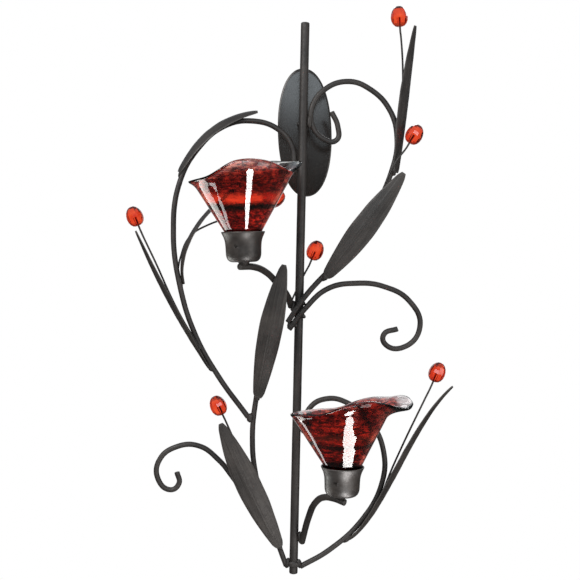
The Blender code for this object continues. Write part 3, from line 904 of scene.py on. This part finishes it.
def keyhole_cutter():
    """A prism in the keyhole's outline: a round head hole with a narrow slot above it."""
    head, slot, rise = 3.9, 2.0, 9.0
    mouth = math.asin(slot / head)
    outline = []
    for i in range(33):
        angle = math.pi / 2 + mouth + i / 32 * (math.tau - 2 * mouth)
        outline.append((head * math.cos(angle), head * math.sin(angle)))
    for i in range(15):
        angle = i / 14 * math.pi
        outline.append((slot * math.cos(angle), rise + slot * math.sin(angle)))
    bm = bmesh.new()
    face = bm.faces.new([bm.verts.new((x * MM, 1 * MM, z * MM)) for x, z in outline])
    pushed = bmesh.ops.extrude_face_region(bm, geom=[face])["geom"]
    moved = [item for item in pushed if isinstance(item, bmesh.types.BMVert)]
    bmesh.ops.translate(bm, verts=moved, vec=(0, -6 * MM, 0))
    cutter = bpy.data.objects.new("keyhole_cutter", finish_mesh(bm, "keyhole_cutter"))
    bpy.context.scene.collection.objects.link(cutter)
    cutter.location = (STEM_AXIS.x, 0, 41 * MM)
    bpy.context.view_layer.update()
    return cutter


def bend_rods(routes, radius, sides, first_seed):
    """Sweeps a rod along each route."""
    for seed, (name, route) in enumerate(routes.items(), first_seed):
        points = smooth_route([place(*spot) for spot in route], 14)
        mesh = finish_mesh(sweep(points, radius, sides, seed), name)
        add_metal(name + "_rod", mesh, "rod_paint", name)


class CANDLERACK_OT_scrolls(bpy.types.Operator):
    """Bend the rods that end in scrolls"""

    bl_idname = "candlerack.scrolls"
    bl_label = "Bend Scrolls"

    def execute(self, context):
        bend_rods(SCROLLS, context.scene.candle_rack_sizes.scroll_radius, 20, 3)
        return {"FINISHED"}


class CANDLERACK_OT_arms(bpy.types.Operator):
    """Bend the two arms that carry the cups"""

    bl_idname = "candlerack.arms"
    bl_label = "Bend Cup Arms"

    def execute(self, context):
        bend_rods(ARMS, context.scene.candle_rack_sizes.arm_radius, 22, 11)
        return {"FINISHED"}


class CANDLERACK_OT_leaves(bpy.types.Operator):
    """Form the creased sheet-metal leaves"""

    bl_idname = "candlerack.leaves"
    bl_label = "Form Leaves"

    def execute(self, context):
        thickness = context.scene.candle_rack_sizes.leaf_thickness
        for name, (*places, facing, width) in LEAVES.items():
            leaf_piece(name, places, facing, width, thickness)
        return {"FINISHED"}


class CANDLERACK_OT_berries(bpy.types.Operator):
    """Cut the amber drops and bend the wires that hold them"""

    bl_idname = "candlerack.berries"
    bl_label = "Build Amber Drops"

    def execute(self, context):
        sizes, finish = context.scene.candle_rack_sizes, context.scene.candle_rack_finish
        resin = amber_resin(finish)
        radius, length = sizes.drop_radius / MM, sizes.drop_length / MM
        low = -length / 2
        shares = (
            (0.32, 0.975), (0.58, 0.9), (0.8, 0.78), (0.94, 0.63), (1.0, 0.47),
            (0.96, 0.3), (0.81, 0.155), (0.57, 0.05), (0.31, 0.01),
        )
        profile = [(0, low + length), *[(radius * r, low + length * h) for r, h in shares]]
        profile += [(1.15, low + 0.2), (1.15, low + 8.6), (0, low + 9)]
        for seed, (name, (centre, aim, route)) in enumerate(BERRIES.items(), 21):
            aim = Vector(aim).normalized()
            middle = place(*centre)
            bm = lathe(profile, 10)
            bmesh.ops.rotate(bm, verts=bm.verts, matrix=Matrix.Rotation(seed * 0.7, 3, "Z"))
            bmesh.ops.transform(bm, matrix=aim.to_track_quat("Z", "Y").to_matrix().to_4x4(), verts=bm.verts)
            bmesh.ops.translate(bm, verts=bm.verts, vec=middle)
            mesh = finish_mesh(bm, name + "_drop", 8)
            link(name + "_drop", mesh, resin, FRAME_BODY, "amber_drop", name + "_berry")
            start = middle - aim * sizes.drop_length / 2
            wire = [place(*spot) for spot in route]
            wire += [start - aim * 5 * MM, start, start + aim * 8.3 * MM]
            bm = sweep(smooth_route(wire, 10), sizes.wire_radius, 12, seed, 0.05)
            add_metal(name + "_stalk", finish_mesh(bm, name + "_stalk"), "rod_paint", name + "_wire")
        return {"FINISHED"}


class CANDLERACK_OT_sockets(bpy.types.Operator):
    """Spin the bell-shaped sockets and drill their holes"""

    bl_idname = "candlerack.sockets"
    bl_label = "Build Sockets"

    def execute(self, context):
        outside = (
            (18.55, 0.02), (18.95, -0.15), (19.1, -0.55), (18.85, -1.3), (18.1, -2.9), (17.2, -4.8),
            (16.5, -6.9), (16.0, -9.2), (15.75, -11.5), (15.6, -14.5), (15.5, -18), (15.35, -20.4),
            (14.9, -22.4), (14.1, -24.1), (12.8, -25.5), (11.2, -26.3), (9.4, -26.5), (5, -26.5),
        )
        inside = (
            (8.6, -25.3), (10.8, -25.15), (12.2, -24.5), (13.2, -23.3), (13.85, -21.8), (14.15, -20),
            (14.3, -18), (14.4, -14.5), (14.55, -11.5), (14.8, -9), (15.3, -6.6), (16.0, -4.5),
            (16.9, -2.6), (17.75, -0.9), (18.1, -0.2),
        )
        for name in CUPS:
            bm = lathe([(0, -25.3), *inside, *outside, (0, -26.5)], 96)
            rub = bm.verts.layers.float.new("rub")
            for vert in bm.verts:
                vert[rub] = 1.0 if vert.co.z > -1.0 * MM else 0.0
            mesh = finish_mesh(bm, name + "_bell", 50)
            # The sockets take the lighter copy of the paint, a painted light
            socket = add_metal(name + "_bell", mesh, "lit_socket_paint", name + "_socket")
            bm = bmesh.new()
            bmesh.ops.create_cone(
                bm, cap_ends=True, segments=28, radius1=1.8 * MM, radius2=1.8 * MM, depth=8 * MM
            )
            turn = Matrix.Rotation(math.radians(-22), 4, "Z")
            sideways = Matrix.Translation(Vector((0, -15.7, -12.5)) * MM)
            bm.transform(turn @ sideways @ Matrix.Rotation(math.pi / 2, 4, "X"))
            drill = bpy.data.objects.new("drill", finish_mesh(bm, "drill"))
            context.scene.collection.objects.link(drill)
            cut = socket.modifiers.new("Hole", "BOOLEAN")
            cut.object = drill
            cut.operation = "DIFFERENCE"
            cut.solver = "MANIFOLD"
            apply_modifiers(socket)
            socket.data.transform(cup_seat(name))
            bpy.data.objects.remove(drill)
        return {"FINISHED"}


class CANDLERACK_OT_glasses(bpy.types.Operator):
    """Blow the two ruby lily cups"""

    bl_idname = "candlerack.glasses"
    bl_label = "Build Glass Cups"

    def execute(self, context):
        sizes, finish = context.scene.candle_rack_sizes, context.scene.candle_rack_finish
        for name, (*_, slope, skew, rim) in CUPS.items():
            *look, clear_from = GLASSES[name]
            mesh = cup_mesh(name + "_lily", rim, slope, skew, sizes.glass_wall / MM, clear_from)
            mesh.transform(cup_seat(name))
            lining = ruby_glass(name + "_ruby_lining", finish, *look, casing=False)
            casing = ruby_glass(name + "_ruby_casing", finish, *look, casing=True)
            link(name + "_lily", mesh, casing, name + "_cup", "ruby_glass", name + "_glass")
            mesh.materials.append(lining)
        return {"FINISHED"}


class CANDLERACK_OT_welds(bpy.types.Operator):
    """Lay the weld beads where the rods, leaves and wires meet"""

    bl_idname = "candlerack.welds"
    bl_label = "Lay Welds"

    def execute(self, context):
        for seed, (name, (centre, size, turn)) in enumerate(WELDS.items(), 41):
            bm = bmesh.new()
            bmesh.ops.create_icosphere(bm, subdivisions=3, radius=1.0)
            rub = bm.verts.layers.float.new("rub")
            drift = Vector((seed * 2.3, seed * 0.9, seed * 4.1))
            spin = Matrix.Rotation(math.radians(turn), 3, "Y")
            for vert in bm.verts:
                lump = 1 + 0.22 * noise.noise(vert.co * 1.7 + drift)
                lump += 0.08 * noise.noise(vert.co * 5 + drift)
                vert[rub] = max(0.0, 0.5 * noise.noise(vert.co * 3 + drift))
                vert.co = spin @ Vector([a * b * lump * MM for a, b in zip(vert.co, size)])
            bmesh.ops.translate(bm, verts=bm.verts, vec=place(*centre))
            add_metal("weld_" + name, finish_mesh(bm, "weld_" + name), "rod_paint")
        bead = ((5.2, -26.2), (4.9, -26.9), (4.0, -27.7), (3.1, -28.8), (2.4, -29.6))
        for name, (x, *_) in CUPS.items():
            bm = lathe([(0, -25.9), *bead, (0, -29.9)], 40)
            for vert in bm.verts:
                vert.co.xy *= 1 + 0.1 * noise.noise(vert.co * 400 + Vector((x, 0, 0)))
            bm.transform(cup_seat(name))
            joined = "weld_" + name + "_socket"
            add_metal(joined, finish_mesh(bm, joined), "rod_paint")
        return {"FINISHED"}


class CANDLERACK_OT_stage(bpy.types.Operator):
    """Set up the floor, the soft studio light and the camera"""

    bl_idname = "candlerack.stage"
    bl_label = "Set Up Stage"

    def execute(self, context):
        scene = context.scene
        finish = scene.candle_rack_finish
        bm = bmesh.new()
        bmesh.ops.create_grid(bm, x_segments=4, y_segments=4, size=4.0)
        bmesh.ops.translate(bm, verts=bm.verts, vec=(0, -3.0, -0.85))
        floor = bpy.data.objects.new("studio_floor", finish_mesh(bm, "studio_floor"))
        floor.data.materials.append(matt_floor(finish))
        floor.visible_glossy = False
        floor.visible_transmission = False
        scene.collection.objects.link(floor)
        scene.world = studio_world()
        scene.view_settings.view_transform = "Standard"
        lit = {
            "all": None,
            "cups": bpy.data.collections.new("cup_pieces"),
            "metal": bpy.data.collections.new("metal_pieces"),
        }
        for piece in scene.objects:
            if piece.name.endswith(("_lily", "_bell")):
                lit["cups"].objects.link(piece)
            if not piece.name.endswith(("_lily", "_drop", "_floor")):
                lit["metal"].objects.link(piece)
        for name, spot, target, size, power, colour, pieces in LIGHTS:
            light = bpy.data.lights.new(name, "AREA")
            light.shape = "RECTANGLE"
            light.size, light.size_y = size
            light.energy = power
            light.color = colour
            lamp = bpy.data.objects.new(name, light)
            lamp.location = spot
            lamp.rotation_mode = "QUATERNION"
            lamp.rotation_quaternion = (Vector(spot) - Vector(target)).to_track_quat("Z", "Y")
            lamp.visible_camera = False
            lamp.visible_transmission = False
            lamp.visible_diffuse = pieces != "cups"
            lamp.light_linking.receiver_collection = lit[pieces]
            scene.collection.objects.link(lamp)
        scene.camera = studio_camera()
        scene.collection.objects.link(scene.camera)
        return {"FINISHED"}


# Softboxes: name, place, target, width and height, watts, colour, and the pieces that it lights.
# Those for the cups only show as highlights.
LIGHTS = (
    ("key_softbox", (-0.95, -1.0, 0.65), (0.0, -0.05, -0.15), (0.8, 1.1), 17.0, (1.0, 0.985, 0.96), "all"),
    ("fill_softbox", (1.1, -0.9, -0.35), (0.0, -0.05, -0.25), (0.7, 0.9), 6.5, (1.0, 0.98, 0.96), "all"),
    ("high_front_softbox", (0.0, -2.2, 0.62), (0.0, 0.0, 0.0), (1.6, 0.5), 13.0, (0.82, 0.93, 1.0), "all"),
    ("upper_cup_strip", (0.17, -0.45, -0.62), (-0.05, -0.11, -0.07), (0.13, 0.19), 2.2, gray(1.0), "cups"),
    (
        "lower_cup_panel", (0.155, -0.2, -0.62), (0.04, -0.11, -0.27), (0.18, 0.12), 1.4,
        (1.0, 0.97, 0.96), "cups",
    ),
    ("left_panel", (-0.70, 0.30, -0.56), (-0.05, -0.1, -0.07), (0.42, 0.46), 3.3, (0.98, 1.0, 0.96), "cups"),
    ("left_strip", (-0.60, -0.1, -0.65), (-0.05, -0.1, -0.07), (0.2, 0.08), 0.35, gray(1.0), "cups"),
    (
        "lower_left_panel", (-0.41, 0.35, -0.76), (0.04, -0.1, -0.27), (0.18, 0.3), 0.7,
        (1.0, 0.98, 0.98), "cups",
    ),
    (
        "low_metal_softbox", (0.2, -0.6, -0.75), (0.02, -0.03, -0.38), (0.5, 0.35), 2.0,
        (1.0, 0.98, 0.96), "metal",
    ),
    ("rear_softbox", (0.5, 1.5, 0.9), (0.0, 0.0, -0.15), (1.2, 0.9), 9.0, gray(1.0), "all"),
)


def studio_world():
    """White behind the rack and through its glass, dim where its surfaces mirror the room."""
    world = bpy.data.worlds.new("studio_white")
    world.use_nodes = True
    tree = world.node_tree
    background = tree.nodes["Background"]
    path = tree.nodes.new("ShaderNodeLightPath")
    coordinates = tree.nodes.new("ShaderNodeTexCoord")
    split = tree.nodes.new("ShaderNodeSeparateXYZ")
    tree.links.new(coordinates.outputs["Generated"], split.inputs[0])
    steep = add_math(tree, "ABSOLUTE", split.outputs["Z"])
    level = add_ramp(tree, steep, (0.5, 1.0), (0.7, 0.0))
    through = add_math(tree, "MULTIPLY", path.outputs["Is Transmission Ray"], level)
    seen = add_math(tree, "MAXIMUM", path.outputs["Is Camera Ray"], through)
    upward = add_math(tree, "ADD", add_math(tree, "MULTIPLY", split.outputs["Z"], 0.5), 0.5)
    low_wall, high_wall, ceiling = (0.07, 0.065, 0.06), (0.3, 0.34, 0.38), (0.4, 0.43, 0.46)
    room = add_ramp(
        tree, upward, (0.0, 0.09), (0.3, 0.06), (0.53, low_wall), (0.62, high_wall), (0.8, ceiling)
    )
    backdrop = add_ramp(tree, split.outputs["Y"], (0.92, 0.0), (0.985, 0.9))
    room = add_mix(tree, 1.0, room, backdrop, "LIGHTEN")
    colour = add_mix(tree, seen, room, gray(1.0))
    tree.links.new(colour, background.inputs["Color"])
    background.inputs["Strength"].default_value = 1.0
    return world


def studio_camera():
    """A camera level with the upper cup, looking slightly down."""
    camera = bpy.data.objects.new("studio_camera", bpy.data.cameras.new("studio_camera"))
    camera.data.lens = 68.9
    camera.data.sensor_width = 36.0
    camera.data.clip_start = 0.01
    pitch, roll = math.radians(-2.75), math.radians(1.22)
    spot = Vector((STEM_AXIS.x - 0.0088, -1.06, -0.0988))
    aim = Matrix.Rotation(math.radians(90) + pitch, 4, "X") @ Matrix.Rotation(roll, 4, "Z")
    camera.matrix_world = Matrix.Translation(spot) @ aim
    return camera


class CANDLERACK_PT_panel(bpy.types.Panel):
    """Sizes, finish and build steps of the candle rack"""

    bl_label = "Votive Candle Rack"
    bl_idname = "CANDLERACK_PT_panel"
    bl_space_type = "VIEW_3D"
    bl_region_type = "UI"
    bl_category = "Candle Rack"

    def draw(self, context):
        layout = self.layout
        for settings in (context.scene.candle_rack_sizes, context.scene.candle_rack_finish):
            box = layout.box()
            for name in settings.__annotations__:
                box.prop(settings, name)
        for operator in OPERATORS:
            layout.operator(operator.bl_idname)


OPERATORS = (
    CANDLERACK_OT_stem,
    CANDLERACK_OT_plate,
    CANDLERACK_OT_scrolls,
    CANDLERACK_OT_arms,
    CANDLERACK_OT_leaves,
    CANDLERACK_OT_berries,
    CANDLERACK_OT_sockets,
    CANDLERACK_OT_glasses,
    CANDLERACK_OT_welds,
    CANDLERACK_OT_stage,
)
CLASSES = (CandleRackSizes, CandleRackFinish, *OPERATORS, CANDLERACK_PT_panel)


def register():
    for cls in CLASSES:
        bpy.utils.register_class(cls)
    bpy.types.Scene.candle_rack_sizes = bpy.props.PointerProperty(type=CandleRackSizes)
    bpy.types.Scene.candle_rack_finish = bpy.props.PointerProperty(type=CandleRackFinish)


def unregister():
    del bpy.types.Scene.candle_rack_finish
    del bpy.types.Scene.candle_rack_sizes
    for cls in reversed(CLASSES):
        bpy.utils.unregister_class(cls)


def main():
    register()
    bpy.ops.candlerack.stem()
    bpy.ops.candlerack.plate()
    bpy.ops.candlerack.scrolls()
    bpy.ops.candlerack.arms()
    bpy.ops.candlerack.leaves()
    bpy.ops.candlerack.berries()
    bpy.ops.candlerack.sockets()
    bpy.ops.candlerack.glasses()
    bpy.ops.candlerack.welds()
    bpy.ops.candlerack.stage()


if __name__ == "__main__":
    main()
